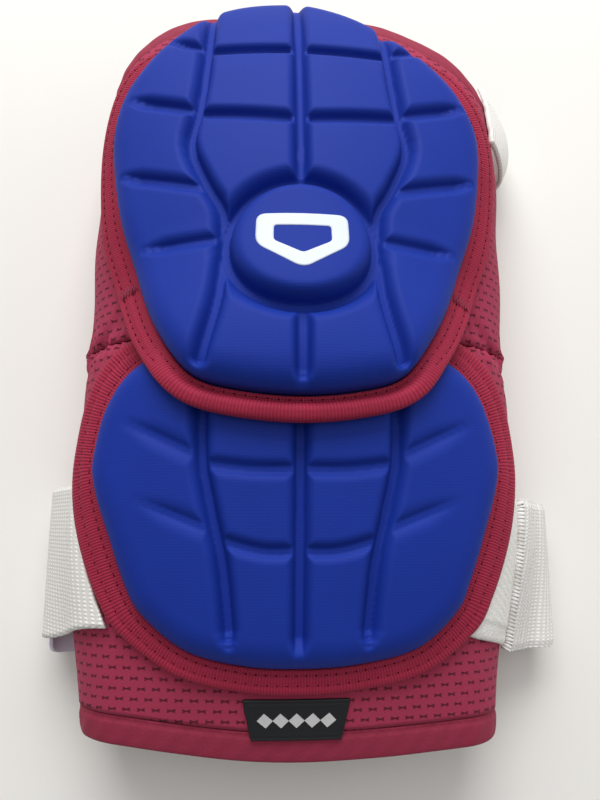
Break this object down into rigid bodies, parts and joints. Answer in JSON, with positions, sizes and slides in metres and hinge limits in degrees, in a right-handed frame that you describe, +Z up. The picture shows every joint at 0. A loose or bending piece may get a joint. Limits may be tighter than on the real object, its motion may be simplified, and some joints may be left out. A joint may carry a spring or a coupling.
{
  "type": "baseball elbow guard",
  "caption": "Arched fabric elbow guard with two grooved foam pads edged in tape, a flap over the elbow, and two white straps crossing underneath",
  "frame": {"origin": "On the surface the guard lies on, under the middle of its outer box", "axes": "+Z up out of the pads, +Y along the arm from the forearm end to the upper arm end, +X to the right seen with the forearm end nearest"},
  "size_m": [0.1714, 0.2498, 0.082],
  "materials": {
    "pad_fabric": "matte",
    "binding_tape": "matte",
    "mesh_fabric": "matte",
    "hem_fabric": "matte",
    "label_weave": "matte",
    "strap_elastic": "matte",
    "loop_plush": "matte",
    "tab_film": "satin"
  },
  "bodies": {
    "root": {"upper_pad": "pad_fabric", "lower_pad": "pad_fabric", "upper_binding": "binding_tape", "lower_binding": "binding_tape", "upper_mesh": "mesh_fabric", "lower_mesh": "mesh_fabric", "upper_hem": "hem_fabric", "lower_hem": "hem_fabric", "label": "label_weave", "lower_strap": "strap_elastic", "lower_strap_hem": "strap_elastic", "lower_plush_tab": "loop_plush", "strap_pull_tab": "tab_film", "upper_strap": "strap_elastic"}
  },
  "joints": []
}
